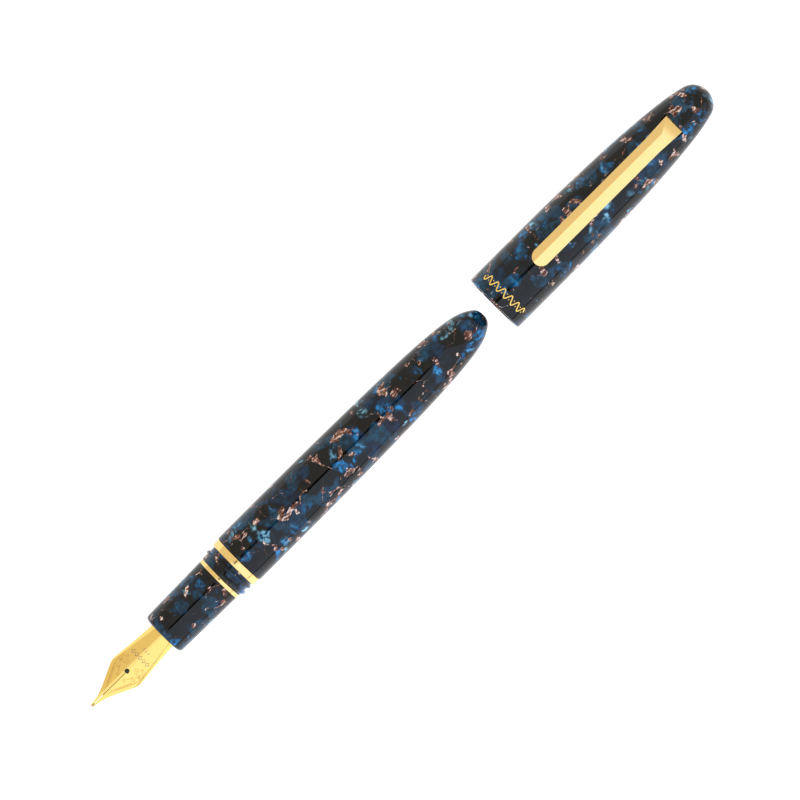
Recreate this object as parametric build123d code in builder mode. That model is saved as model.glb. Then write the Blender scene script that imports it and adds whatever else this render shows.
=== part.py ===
from build123d import *
import os
from math import cos, radians, sin, tan

# A fountain pen lying on its side, uncapped, with its cap in line behind the barrel, ready to be
# pushed onto the barrel's tail. X runs along the pen, nib at -X and crown at +X. The top of the
# nib and the clip face +Z. The origin is under the middle of the whole length, on the surface
# that the cap lies on. All sizes are in millimetres.

# ---- lengths along the pen ----
nib_exposed = 22.7
section_length = 17.57
section_ring_length = 1.0
cap_thread_zone = 3.83
band_length = 1.95
body_length = 78.05
cap_gap = 3.35
cap_length = 68.3
pen_length = (
    nib_exposed + section_length + section_ring_length + cap_thread_zone
    + band_length + body_length + cap_gap + cap_length
)

# ---- radii of what shows ----
cap_radius = 7.625
body_radius = 6.675
band_radius = 6.5
thread_root_radius = 5.9
thread_crest_radius = 6.375
thread_pitch = 1.8
thread_ridge = 1.0
section_front_radius = 5.5
section_rear_radius = 5.8
section_ring_radius = 5.84
section_edge = 0.9

# ---- stations along X ----
x_tip = -pen_length / 2
x_section = x_tip + nib_exposed
x_ring = x_section + section_length
x_barrel = x_ring + section_ring_length
x_band = x_barrel + cap_thread_zone
x_body = x_band + band_length
x_tail = x_body + body_length
x_lip = x_tail + cap_gap
x_crown = x_lip + cap_length

# ---- fits ----
press_gap = 0.02
running_gap = 0.05

# ---- nib, feed and collar ----
nib_thickness = 0.5
nib_face_radius = 3.3
nib_base_radius = 3.2
nib_length = 33.0
nib_slope = 14.5
nib_flare = 11.3
nib_cone_back = 2.0
nib_cone_front = 25.0
slit_width = 0.12
breather_radius = 0.55
breather_from_tip = 11.4
tipping_length = 1.1
tipping_radius = 0.45
tipping_height = 1.72
feed_from_tip = 3.6
feed_belly_radius = 3.22
fin_count = 12
fin_pitch = 0.85
fin_groove = 0.38
fin_root_radius = 2.3
feed_radius = nib_base_radius - nib_thickness - running_gap
feed_tail_radius = 1.2
collar_length = 12.5
collar_recess = 0.6
collar_radius = 3.95
nipple_radius = 2.1
nipple_length = 5.4

# ---- section tenon and the insert it screws into ----
tenon_radius = 4.4
tenon_root_radius = 4.05
tenon_bore = 3.6
tenon_in_section = 4.3
tenon_length = 9.0
tenon_pitch = 1.0
insert_radius = 5.0
insert_length = 10.2

# ---- converter ----
converter_pull = 6.5
tube_radius = 3.3
tube_bore = 2.75
tube_length = 37.0
socket_depth = 5.6
sleeve_radius = 3.5
sleeve_length = 10.0
gland_length = 3.5
rod_radius = 1.5
rod_flat = 1.1
rod_spigot_radius = 1.1
seal_length = 4.0
piston_stroke = 22.0
knob_radius = 3.2
knob_length = 26.0
knob_neck_length = 3.6
knob_neck_radius = 2.2
knob_flutes = 24

# ---- barrel bore ----
barrel_bore = 3.9

# ---- cap interior, measured from the lip ----
lip_rounding = 0.5
cap_plain_lip = 1.1
cap_thread_major = 6.47
cap_thread_minor = 6.0
cap_thread_end = 5.3
cap_bore = 6.15
inner_cap_rim = 21.55
inner_cap_radius = 5.4
inner_cap_bore = 4.7
inner_cap_flange_radius = 6.0
inner_cap_flange = 1.0
inner_cap_length = 28.4
inner_cap_wall = 2.4
inner_cap_travel = 1.2
retainer_width = 0.9
retainer_bore = 5.68
retainer_gap = 2.0
spring_radius = 3.9
spring_wire = 0.5
spring_turns = 4.5
spring_chamber = 4.6
plug_start = 55.9
plug_length = 2.7

# ---- clip ----
clip_tip = 12.7
clip_end = 57.2
clip_width = 4.3
clip_end_width = 5.0
clip_flare_start = 50.0
clip_underside = 7.95
clip_thickness = 1.05
clip_top = clip_underside + clip_thickness
clip_ridge = 0.3
clip_leg_start = 56.1
clip_leg_thickness = 0.9
clip_leg_foot = 3.3
clip_foot_thickness = 0.55
clip_foot_width = 3.8
clip_foot = 1.1
clip_slot_gap = 0.35
clip_pad_radius = 1.2

# ---- working planes ----
axis_height = cap_radius
pen_axis = Axis((0, 0, axis_height), (1, 0, 0))
lengthwise = Plane(origin=(0, 0, axis_height), x_dir=(1, 0, 0), z_dir=(0, -1, 0))
from_above = Plane(origin=(0, 0, axis_height))


def across(x):
    """Plane square to the pen at station x, seen from the tail, with local y up."""
    return Plane(origin=(x, 0, axis_height), x_dir=(0, 1, 0), z_dir=(1, 0, 0))


def ring_profile(x0, x1, outer, inner=0.0, mode=Mode.ADD):
    """Rectangle between two stations and two radii, for turning about the pen's axis."""
    with Locations(((x0 + x1) / 2, (outer + inner) / 2)):
        Rectangle(x1 - x0, outer - inner, mode=mode)


def helical_ridge(x0, length, pitch, root, height, width, crest_width):
    """A thread's ridge: a trapezium swept along a helix. A negative height points inwards."""
    with BuildPart() as ridge:
        with BuildLine() as path:
            Helix(pitch, length, root, center=(x0, 0, axis_height), direction=(1, 0, 0))
        start = path.line @ 0
        outward = Vector(0, start.Y, start.Z - axis_height).normalized()
        sink = 0.06 if height > 0 else -0.06
        with BuildSketch(Plane(start, x_dir=outward, z_dir=path.line % 0)):
            with BuildLine():
                Polyline(
                    (-sink, -width / 2),
                    (height, -crest_width / 2),
                    (height, crest_width / 2),
                    (-sink, width / 2),
                    close=True,
                )
            make_face()
        sweep(path=path.line, is_frenet=True)
    return ridge.part


# ---- barrel: thread at the front, seat for the band, long taper to a round tail ----
tail_outline = [
    (x_tail - 59.1, body_radius),
    (x_tail - 33.8, 6.385),
    (x_tail - 19.33, 5.95),
    (x_tail - 8.5, 5.06),
    (x_tail - 3.1, 3.72),
    (x_tail - 1.43, 2.77),
    (x_tail - 0.44, 1.83),
    (x_tail, 0.0),
]
x_insert_end = x_barrel + insert_length
x_converter = x_section + collar_recess + collar_length + 0.2
x_converter_end = x_converter + tube_length + 1.6 + knob_neck_length + knob_length
x_bore_end = x_converter_end + converter_pull + 1.2

with BuildPart() as barrel:
    with BuildSketch(lengthwise):
        with BuildLine():
            Polyline(
                (x_tail, 0),
                (x_barrel, 0),
                (x_barrel, thread_root_radius),
                (x_body, thread_root_radius),
                (x_body, body_radius - 0.2),
                (x_body + 0.2, body_radius),
                (x_tail - 59.1, body_radius),
            )
            Spline(tail_outline, tangents=[(1, 0), (0, -1)])
        make_face()
    revolve(axis=pen_axis)
    add(
        helical_ridge(
            x_barrel + thread_ridge / 2 + 0.1,
            cap_thread_zone - thread_ridge - 0.2,
            thread_pitch,
            thread_root_radius,
            thread_crest_radius - thread_root_radius,
            thread_ridge,
            0.75 * thread_ridge,
        )
    )
    with BuildSketch(lengthwise):
        ring_profile(x_barrel, x_insert_end, insert_radius + press_gap)
        ring_profile(x_insert_end, x_bore_end, barrel_bore)
    revolve(axis=pen_axis, mode=Mode.SUBTRACT)
barrel.part.label = "barrel"

with BuildPart() as barrel_band:
    with BuildSketch(lengthwise):
        ring_profile(x_band, x_body - 0.01, band_radius, thread_root_radius + press_gap)
    revolve(axis=pen_axis)
    fillet(barrel_band.edges().filter_by(GeomType.CIRCLE).sort_by(SortBy.RADIUS)[-2:], 0.35)
barrel_band.part.label = "barrel_band"

with BuildPart() as barrel_insert:
    with BuildSketch(lengthwise):
        ring_profile(x_barrel + 0.05, x_insert_end - 0.05, insert_radius, tenon_radius + running_gap)
    revolve(axis=pen_axis)
barrel_insert.part.label = "barrel_insert"

# ---- grip section, its ring and its threaded tenon ----
x_tenon = x_ring - tenon_in_section
x_tenon_end = x_barrel + tenon_length
x_collar = x_section + collar_recess
x_collar_end = x_collar + collar_length
x_feed_back = x_collar_end - 1.55

with BuildPart() as grip_section:
    with BuildSketch(lengthwise):
        with BuildLine():
            Polyline(
                (x_section, 0),
                (x_section, section_front_radius),
                (x_ring, section_rear_radius),
                (x_ring, 0),
                close=True,
            )
        make_face()
        ring_profile(x_section, x_tenon, collar_radius + press_gap, mode=Mode.SUBTRACT)
        ring_profile(x_tenon, x_ring, tenon_radius + press_gap, mode=Mode.SUBTRACT)
    revolve(axis=pen_axis)
    front_edge = grip_section.edges().group_by(Axis.X)[0].sort_by(SortBy.RADIUS)
    fillet(front_edge[-1], section_edge)
grip_section.part.label = "grip_section"

with BuildPart() as section_ring:
    with BuildSketch(lengthwise):
        ring_profile(x_ring, x_barrel, section_ring_radius, tenon_radius + running_gap)
    revolve(axis=pen_axis)
    fillet(section_ring.edges().filter_by(GeomType.CIRCLE).sort_by(SortBy.RADIUS)[-2:], 0.2)
section_ring.part.label = "section_ring"

with BuildPart() as section_tenon:
    with BuildSketch(lengthwise):
        ring_profile(x_tenon, x_barrel + 0.4, tenon_radius, tenon_bore)
        ring_profile(x_barrel + 0.4, x_tenon_end, tenon_root_radius, tenon_bore)
    revolve(axis=pen_axis)
    add(
        helical_ridge(
            x_barrel + 1.2,
            tenon_length - 1.7,
            tenon_pitch,
            tenon_root_radius,
            tenon_radius - tenon_root_radius,
            0.62 * tenon_pitch,
            0.2 * tenon_pitch,
        )
    )
section_tenon.part.label = "section_tenon"

# ---- nib collar: the housing in the section, ending in the nipple for the converter ----
with BuildPart() as nib_collar:
    with BuildSketch(lengthwise):
        ring_profile(x_collar, x_collar_end, collar_radius, nib_base_radius + running_gap)
        ring_profile(
            x_collar_end - 1.5, x_collar_end, collar_radius, feed_tail_radius + running_gap
        )
        ring_profile(
            x_collar_end, x_collar_end + nipple_length, nipple_radius, feed_tail_radius + running_gap
        )
    revolve(axis=pen_axis)
nib_collar.part.label = "nib_collar"

# ---- nib: a bent sheet, cylindrical in the collar and opening into a sloping cone in front ----
x_nib_base = x_tip + nib_length
x_nib_step = x_section + collar_recess
nib_axis_direction = Vector(-cos(radians(nib_slope)), 0, -sin(radians(nib_slope)))
nib_axis_start = Vector(x_section, 0, axis_height) - nib_axis_direction * nib_cone_back


def cone_radius(along):
    """Radius of the nib's cone, the given length down its axis from the section's face."""
    at_top = nib_face_radius * cos(radians(nib_slope))
    return at_top + (along + nib_face_radius * sin(radians(nib_slope))) * tan(radians(nib_flare))


nib_outline = [
    (x_tip + 0.5, 0.4),
    (x_tip + 2.7, 0.8),
    (x_tip + 4.5, 1.42),
    (x_tip + 7.2, 2.68),
    (x_tip + 9.9, 3.95),
]
nib_shoulder = [(x_tip + 9.9, 3.95), (x_tip + 10.9, 4.26), (x_tip + 12.4, 4.2)]


def nib_cone(inset):
    """Solid cone of the nib's outer surface, or of a surface lying the given depth inside it."""
    with BuildPart(Plane(nib_axis_start, z_dir=nib_axis_direction)) as cone:
        Cone(
            cone_radius(-nib_cone_back) - inset,
            cone_radius(nib_cone_front) - inset,
            nib_cone_back + nib_cone_front,
            align=(Align.CENTER, Align.CENTER, Align.MIN),
        )
        split(bisect_by=across(x_nib_step), keep=Keep.BOTTOM)
    return cone.part


with BuildPart() as nib:
    add(nib_cone(0))
    with BuildSketch(lengthwise):
        ring_profile(x_nib_step, x_nib_base, nib_base_radius)
    revolve(axis=pen_axis)
    add(nib_cone(nib_thickness), mode=Mode.SUBTRACT)
    with BuildSketch(lengthwise):
        ring_profile(x_nib_step, x_nib_base, nib_base_radius - nib_thickness)
    revolve(axis=pen_axis, mode=Mode.SUBTRACT)
    with BuildSketch(from_above.offset(-0.4)):
        with BuildLine():
            Polyline((x_tip + 0.5, 0), (x_tip + 0.5, 0.4))
            Spline(nib_outline)
            Spline(nib_shoulder, tangents=[(0.9, 0.44), (1, -0.1)])
            Spline([(x_tip + 12.4, 4.2), (x_tip + 17.2, 3.7), (x_nib_step, 3.35)])
            Line((x_nib_step, 3.35), (x_nib_base, 3.35))
            Line((x_nib_base, 3.35), (x_nib_base, 0))
            mirror(about=Plane.XZ)
        make_face()
    extrude(amount=nib_face_radius + 2, mode=Mode.INTERSECT)
    with BuildSketch(from_above):
        with Locations((x_tip + breather_from_tip / 2, 0)):
            Rectangle(breather_from_tip, slit_width)
        with Locations((x_tip + breather_from_tip, 0)):
            Circle(breather_radius)
    extrude(amount=nib_face_radius + 2, mode=Mode.SUBTRACT)
nib.part.label = "nib"

# ---- tipping: a pellet welded under the point, slit from above like the nib ----
with BuildPart() as nib_tipping:
    with BuildSketch(lengthwise):
        with Locations((x_tip + tipping_length / 2, tipping_height)):
            SlotOverall(tipping_length, 2 * tipping_radius)
            Rectangle(tipping_length, tipping_radius, align=(Align.CENTER, Align.MIN), mode=Mode.SUBTRACT)
    revolve(axis=Axis((0, 0, axis_height + tipping_height), (1, 0, 0)))
    add(nib.part, mode=Mode.SUBTRACT)
    with BuildSketch(from_above.offset(tipping_height - 0.7 * tipping_radius)):
        with Locations((x_tip + tipping_length / 2, 0)):
            Rectangle(2 * tipping_length, slit_width)
    extrude(amount=2 * tipping_radius, mode=Mode.SUBTRACT)
nib_tipping.part.label = "nib_tipping"

# ---- feed: fills the nib from below, combed in front of the section, with a tail in the nipple ----
with BuildPart() as feed:
    with BuildSketch(lengthwise):
        ring_profile(x_tip + feed_from_tip, x_feed_back, feed_belly_radius)
    revolve(axis=pen_axis)
    add(nib_cone(nib_thickness + running_gap), mode=Mode.INTERSECT)
    with BuildSketch(lengthwise):
        with BuildLine():
            Polyline(
                (x_tip + feed_from_tip, 4),
                (x_tip + feed_from_tip, 1.3),
                (x_tip + 9.5, -1.5),
                (x_nib_step, -feed_belly_radius - 0.2),
                (x_nib_step, 4),
                close=True,
            )
        make_face()
    extrude(amount=feed_belly_radius, both=True, mode=Mode.INTERSECT)
    with BuildSketch(from_above.offset(-feed_belly_radius)):
        with BuildLine():
            Polyline((x_nib_step, 0), (x_nib_step, feed_belly_radius + 0.2))
            Spline(
                [
                    (x_nib_step, feed_belly_radius + 0.2),
                    (x_tip + 13.0, 2.9),
                    (x_tip + 7.5, 1.9),
                    (x_tip + feed_from_tip, 0.0),
                ],
                tangents=[(-1, 0), (0, -1)],
            )
            mirror(about=Plane.XZ)
        make_face()
    extrude(amount=2.2 * feed_belly_radius, mode=Mode.INTERSECT)
    with BuildSketch(lengthwise):
        ring_profile(x_nib_step, x_feed_back, feed_radius)
        ring_profile(x_feed_back, x_collar_end + nipple_length - 0.2, feed_tail_radius)
    revolve(axis=pen_axis)
    with BuildSketch(lengthwise):
        for fin in range(fin_count):
            groove = x_section - 0.5 - fin * fin_pitch
            ring_profile(groove - fin_groove, groove, feed_belly_radius + 0.5, fin_root_radius)
    revolve(axis=pen_axis, mode=Mode.SUBTRACT)
feed.part.label = "feed"

# ---- converter: clear tube with a socket, sleeve, keyed gland, piston and knob ----
x_tube_end = x_converter + tube_length
x_tube_bore = x_converter + socket_depth + 0.8
x_knob = x_tube_end + 1.6
x_knob_body = x_knob + knob_neck_length
x_sleeve_end = x_knob_body - 0.15
x_sleeve = x_sleeve_end - sleeve_length

with BuildPart() as converter_tube:
    with BuildSketch(lengthwise):
        ring_profile(x_converter, x_tube_end, tube_radius, nipple_radius + running_gap)
        ring_profile(x_tube_bore, x_tube_end, tube_bore, nipple_radius, mode=Mode.SUBTRACT)
    revolve(axis=pen_axis)
converter_tube.part.label = "converter_tube"

with BuildPart() as converter_sleeve:
    with BuildSketch(lengthwise):
        ring_profile(x_sleeve, x_sleeve_end, sleeve_radius, tube_radius + press_gap)
        ring_profile(
            x_sleeve_end - 1.6, x_sleeve_end, sleeve_radius, knob_neck_radius + running_gap
        )
    revolve(axis=pen_axis)
converter_sleeve.part.label = "converter_sleeve"

with BuildPart() as converter_gland:
    with BuildSketch(lengthwise):
        ring_profile(x_tube_end - gland_length, x_tube_end, tube_bore - press_gap)
        ring_profile(x_tube_end, x_knob - 0.1, tube_radius)
    revolve(axis=pen_axis)
    with BuildSketch(across(x_tube_end - gland_length)):
        Circle(rod_radius + running_gap)
        Rectangle(4 * rod_radius, 2 * (rod_flat + running_gap), mode=Mode.INTERSECT)
    extrude(amount=2 * gland_length, mode=Mode.SUBTRACT)
converter_gland.part.label = "converter_gland"

x_seal = x_tube_bore + 0.1
x_rod_disc = x_seal + seal_length
x_rod_end = x_knob_body + 2.6

with BuildPart() as piston_seal:
    with BuildSketch(lengthwise):
        ring_profile(x_seal, x_rod_disc, tube_bore - running_gap, rod_spigot_radius + press_gap)
        ring_profile(
            x_seal + 1.2, x_rod_disc - 1.2, tube_bore, tube_bore - 0.4, mode=Mode.SUBTRACT
        )
    revolve(axis=pen_axis)
piston_seal.part.label = "piston_seal"

with BuildPart() as piston_rod:
    with BuildSketch(across(x_rod_disc)):
        Circle(rod_radius)
        Rectangle(4 * rod_radius, 2 * rod_flat, mode=Mode.INTERSECT)
    extrude(amount=x_rod_end - x_rod_disc)
    with BuildSketch(lengthwise):
        ring_profile(x_seal + 0.3, x_rod_disc, rod_spigot_radius)
        ring_profile(x_rod_disc, x_rod_disc + 0.8, tube_bore - 0.25)
    revolve(axis=pen_axis)
piston_rod.part.label = "piston_rod"

with BuildPart() as converter_knob:
    with BuildSketch(lengthwise):
        ring_profile(x_knob, x_knob + 1.8, tube_radius)
        ring_profile(x_knob, x_knob_body, knob_neck_radius)
        ring_profile(x_knob_body, x_converter_end, knob_radius)
        ring_profile(x_knob, x_rod_end + piston_stroke + 0.3, rod_radius + running_gap, mode=Mode.SUBTRACT)
    revolve(axis=pen_axis)
    with BuildSketch(across(x_knob_body + 1.5)):
        with PolarLocations(knob_radius, knob_flutes):
            Circle(0.2)
    extrude(amount=knob_length - 3, mode=Mode.SUBTRACT)
converter_knob.part.label = "converter_knob"

# ---- cap shell ----
x_clip = x_lip + clip_tip
x_clip_end = x_lip + clip_end
x_leg = x_lip + clip_leg_start
x_thread_end = x_lip + cap_thread_end
x_flange_seat = x_lip + inner_cap_rim + inner_cap_flange + inner_cap_travel + 0.3
x_inner_cap_end = x_lip + inner_cap_rim + inner_cap_length
x_chamber = x_inner_cap_end + inner_cap_travel + 0.2
x_plug = x_lip + plug_start
x_plug_end = x_plug + plug_length
crown_outline = [
    (x_crown - 49.45, cap_radius),
    (x_crown - 36.8, 7.4),
    (x_crown - 22.33, 6.8),
    (x_crown - 11.5, 5.88),
    (x_crown - 4.25, 4.68),
    (x_crown - 2.5, 4.12),
    (x_crown - 1.27, 3.22),
    (x_crown - 0.41, 1.87),
    (x_crown, 0.0),
]

with BuildPart() as cap_shell:
    with BuildSketch(lengthwise):
        with BuildLine():
            Polyline(
                (x_crown, 0),
                (x_lip, 0),
                (x_lip, cap_radius - lip_rounding),
            )
            RadiusArc(
                (x_lip, cap_radius - lip_rounding), (x_lip + lip_rounding, cap_radius), lip_rounding
            )
            Line((x_lip + lip_rounding, cap_radius), crown_outline[0])
            Spline(crown_outline, tangents=[(1, 0), (0, -1)])
        make_face()
    revolve(axis=pen_axis)
    with BuildSketch(lengthwise):
        ring_profile(x_lip, x_thread_end, cap_thread_major)
        ring_profile(x_thread_end, x_flange_seat, cap_bore)
        ring_profile(x_flange_seat, x_chamber, inner_cap_radius + running_gap)
        ring_profile(x_chamber, x_plug_end, spring_chamber)
    revolve(axis=pen_axis, mode=Mode.SUBTRACT)
    add(
        helical_ridge(
            x_lip + cap_plain_lip + thread_ridge / 2,
            cap_thread_end - cap_plain_lip - thread_ridge - 0.3,
            thread_pitch,
            cap_thread_major,
            cap_thread_minor - cap_thread_major,
            0.9 * thread_ridge,
            0.6 * thread_ridge,
        )
    )
    with BuildSketch(from_above.offset(clip_leg_foot - 0.2)):
        with Locations((x_leg + clip_leg_thickness / 2, 0)):
            Rectangle(clip_leg_thickness + 2 * clip_slot_gap, clip_end_width + 2 * clip_slot_gap)
    extrude(amount=cap_radius, mode=Mode.SUBTRACT)
cap_shell.part.label = "cap_shell"

# ---- inner cap, its spring and its retaining ring ----
with BuildPart() as inner_cap:
    with BuildSketch(lengthwise):
        ring_profile(
            x_lip + inner_cap_rim, x_lip + inner_cap_rim + inner_cap_flange, inner_cap_flange_radius
        )
        ring_profile(x_lip + inner_cap_rim, x_inner_cap_end, inner_cap_radius)
        ring_profile(
            x_lip + inner_cap_rim,
            x_inner_cap_end - inner_cap_wall,
            inner_cap_bore,
            mode=Mode.SUBTRACT,
        )
    revolve(axis=pen_axis)
inner_cap.part.label = "inner_cap"

with BuildPart() as inner_cap_spring:
    spring_length = x_plug - x_inner_cap_end - spring_wire - 0.1
    with BuildLine() as coil:
        Helix(
            spring_length / spring_turns,
            spring_length,
            spring_radius,
            center=(x_inner_cap_end + spring_wire / 2 + 0.05, 0, axis_height),
            direction=(1, 0, 0),
        )
    with BuildSketch(Plane(coil.line @ 0, z_dir=coil.line % 0)):
        Circle(spring_wire / 2)
    sweep(path=coil.line, is_frenet=True)
inner_cap_spring.part.label = "inner_cap_spring"

x_retainer_end = x_lip + inner_cap_rim - 0.05
with BuildPart() as inner_cap_retainer:
    with BuildSketch(lengthwise):
        ring_profile(
            x_retainer_end - retainer_width, x_retainer_end, cap_bore - press_gap, retainer_bore
        )
    revolve(axis=pen_axis)
    with BuildSketch(from_above):
        with Locations((x_retainer_end - retainer_width / 2, 0)):
            Rectangle(2 * retainer_width, retainer_gap)
    extrude(amount=-cap_bore, mode=Mode.SUBTRACT)
inner_cap_retainer.part.label = "inner_cap_retainer"

# ---- clip: a ridged strip folded down at the crown end, with a foot hooked under the wall ----
with BuildPart() as clip:
    with BuildSketch(from_above):
        with BuildLine():
            RadiusArc((x_clip, 0), (x_clip + clip_width / 2, clip_width / 2), clip_width / 2)
            Polyline(
                (x_clip + clip_width / 2, clip_width / 2),
                (x_lip + clip_flare_start, clip_width / 2),
                (x_clip_end, clip_end_width / 2),
                (x_clip_end, clip_foot_width / 2),
                (x_clip_end + clip_foot, clip_foot_width / 2),
                (x_clip_end + clip_foot, 0),
            )
            mirror(about=Plane.XZ)
        make_face()
    extrude(amount=clip_top)
    with BuildSketch(lengthwise):
        with BuildLine():
            Polyline(
                (x_clip, clip_top),
                (x_clip, clip_underside),
                (x_leg - 5.0, clip_underside - 0.15),
            )
            Spline(
                [(x_leg - 5.0, clip_underside - 0.15), (x_leg, clip_underside - 1.2)],
                tangents=[(1, -0.01), (0.3, -1)],
            )
            Polyline(
                (x_leg, clip_underside - 1.2),
                (x_leg, clip_leg_foot),
                (x_leg + clip_leg_thickness + clip_foot, clip_leg_foot),
                (x_leg + clip_leg_thickness + clip_foot, clip_leg_foot + clip_foot_thickness),
                (x_leg + clip_leg_thickness, clip_leg_foot + clip_foot_thickness),
                (x_leg + clip_leg_thickness, 6.4),
                (x_clip_end, 6.6),
                (x_clip_end, clip_underside - 0.2),
                (x_clip_end - 1.2, clip_top - 0.35),
                (x_leg - 4.0, clip_top),
                (x_clip, clip_top),
            )
        make_face()
    extrude(amount=clip_end_width, both=True, mode=Mode.INTERSECT)
    with BuildSketch(across(x_clip)):
        with BuildLine():
            Polyline(
                (-clip_width, 0),
                (-clip_width, clip_top - 2 * clip_ridge),
                (0, clip_top),
                (clip_width, clip_top - 2 * clip_ridge),
                (clip_width, 0),
                close=True,
            )
        make_face()
    extrude(amount=x_clip_end - x_clip + clip_foot, mode=Mode.INTERSECT)
    with BuildSketch(from_above.offset(cap_radius + 0.04)):
        with Locations((x_clip + clip_width / 2, 0)):
            Circle(clip_pad_radius)
    extrude(amount=clip_underside - cap_radius)
clip.part.label = "clip"

with BuildPart() as clip_plug:
    with BuildSketch(lengthwise):
        ring_profile(x_plug, x_plug_end - 0.05, spring_chamber - press_gap)
    revolve(axis=pen_axis)
    with BuildSketch(from_above.offset(clip_leg_foot - 0.2)):
        with Locations((x_plug + plug_length / 2, 0)):
            Rectangle(2 * plug_length, clip_end_width + 0.3)
    extrude(amount=cap_radius, mode=Mode.SUBTRACT)
clip_plug.part.label = "clip_plug"

# ---- one file for each piece ----
pieces = (
    barrel,
    barrel_band,
    barrel_insert,
    grip_section,
    section_ring,
    section_tenon,
    nib_collar,
    nib,
    nib_tipping,
    feed,
    converter_tube,
    converter_sleeve,
    converter_gland,
    converter_knob,
    piston_rod,
    piston_seal,
    cap_shell,
    inner_cap,
    inner_cap_spring,
    inner_cap_retainer,
    clip,
    clip_plug,
)
os.makedirs("parts", exist_ok=True)
for piece in pieces:
    export_step(piece.part, f"parts/{piece.part.label}.step")
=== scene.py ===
"""Looks for a fountain pen: polished chunk resin, gold plate and an engraved nib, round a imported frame."""

from math import acos, asin, cos, pi, radians, sin, sqrt, tan

import bpy
from bpy.props import FloatProperty, FloatVectorProperty, IntProperty, PointerProperty
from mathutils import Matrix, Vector


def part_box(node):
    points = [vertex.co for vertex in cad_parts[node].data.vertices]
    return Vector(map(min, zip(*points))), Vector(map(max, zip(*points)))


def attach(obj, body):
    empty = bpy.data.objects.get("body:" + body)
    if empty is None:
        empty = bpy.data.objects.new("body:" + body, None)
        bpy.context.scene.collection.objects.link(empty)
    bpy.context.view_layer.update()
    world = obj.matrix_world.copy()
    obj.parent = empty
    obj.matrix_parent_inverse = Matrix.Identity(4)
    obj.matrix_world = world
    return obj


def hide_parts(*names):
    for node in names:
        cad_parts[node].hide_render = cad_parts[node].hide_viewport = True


bl_info = {
    "name": "Fountain pen",
    "version": (1, 0, 0),
    "blender": (4, 5, 0),
    "location": "View3D > Sidebar > Pen",
    "description": "Builds the visible pieces of a resin fountain pen round its frame",
    "category": "Object",
}

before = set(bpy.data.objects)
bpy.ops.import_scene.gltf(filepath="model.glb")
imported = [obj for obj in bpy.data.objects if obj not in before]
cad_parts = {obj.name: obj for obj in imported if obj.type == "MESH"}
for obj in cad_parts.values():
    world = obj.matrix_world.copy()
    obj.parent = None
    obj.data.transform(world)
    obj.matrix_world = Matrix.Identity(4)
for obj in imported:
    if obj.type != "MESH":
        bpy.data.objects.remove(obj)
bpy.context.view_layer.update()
MM = 0.001


# ---- places, read from the frame, in millimetres ----
def low_x(node):
    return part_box(node)[0].x / MM


def high_x(node):
    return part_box(node)[1].x / MM


def radius_of(node):
    low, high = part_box(node)
    return (high.y - low.y) / 2 / MM


CAP_RADIUS = radius_of("cap_shell")
AXIS = CAP_RADIUS
BODY_RADIUS = radius_of("barrel")
LIP = low_x("cap_shell")
CROWN = high_x("cap_shell")
TIP = low_x("nib_tipping")
SECTION_FACE = low_x("grip_section")
RING_FACE = low_x("section_ring")
BARREL_FACE = low_x("barrel")
BAND_FACE = low_x("barrel_band")
BODY_FACE = high_x("barrel_band") + 0.01
TAIL = high_x("barrel")
CLIP_TIP = low_x("clip") - LIP
CLIP_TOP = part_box("clip")[1].z / MM - AXIS
COLLAR_FACE = low_x("nib_collar")
COLLAR_RADIUS = radius_of("nib_collar") + 0.02
TENON_FACE = low_x("section_tenon")
TENON_RADIUS = radius_of("section_tenon") + 0.02
INSERT_END = high_x("barrel_insert") + 0.05
INSERT_RADIUS = radius_of("barrel_insert") + 0.02


# ---- sizes and colours a user may change ----
class PenResin(bpy.types.PropertyGroup):
    chunk: FloatProperty(
        name="Chunk width", description="Usual width of a chunk, in millimetres", default=3.0, min=0.5
    )
    vein: FloatProperty(
        name="Vein spacing", description="Usual space between veins, in millimetres", default=4.4, min=1.0
    )
    base: FloatVectorProperty(
        name="Base", description="Near-black ground", subtype="COLOR", default=(0.0042, 0.0038, 0.0032)
    )
    murk: FloatVectorProperty(
        name="Murk", description="Darkest chunks", subtype="COLOR", default=(0.006, 0.012, 0.019)
    )
    navy: FloatVectorProperty(
        name="Navy", description="Deep blue chunks", subtype="COLOR", default=(0.003, 0.015, 0.050)
    )
    petrol: FloatVectorProperty(
        name="Petrol", description="Lightest soft chunks", subtype="COLOR", default=(0.007, 0.048, 0.090)
    )
    azure: FloatVectorProperty(
        name="Azure", description="Bright blue chips", subtype="COLOR", default=(0.008, 0.23, 0.55)
    )
    pale: FloatVectorProperty(
        name="Pale blue", description="Palest pearly chips", subtype="COLOR", default=(0.26, 0.58, 0.74)
    )
    rust: FloatVectorProperty(
        name="Rust", description="Darkest part of the veins", subtype="COLOR", default=(0.055, 0.018, 0.010)
    )
    copper: FloatVectorProperty(
        name="Copper", description="Body of the veins", subtype="COLOR", default=(0.32, 0.115, 0.066)
    )
    # painted highlight: the pinkish-white streaks on the copper veins
    vein_highlight: FloatVectorProperty(
        name="Rose", description="Bright streaks in the veins", subtype="COLOR", default=(0.88, 0.68, 0.60)
    )


class PenMetal(bpy.types.PropertyGroup):
    gold: FloatVectorProperty(
        name="Gold", description="Colour of the nib's gold", subtype="COLOR", default=(1.0, 0.675, 0.19)
    )
    trim: FloatVectorProperty(
        name="Trim", description="Paler gold of clip and bands", subtype="COLOR", default=(1.0, 0.695, 0.27)
    )
    steel: FloatVectorProperty(
        name="Steel", description="Colour of plain plated metal", subtype="COLOR", default=(0.62, 0.62, 0.64)
    )
    line: FloatProperty(
        name="Engraved line", description="Width of a cut line, in millimetres", default=0.09, min=0.01
    )
    facets: IntProperty(name="Facets", description="Flats round a turned piece", default=160, min=32, max=512)


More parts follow.
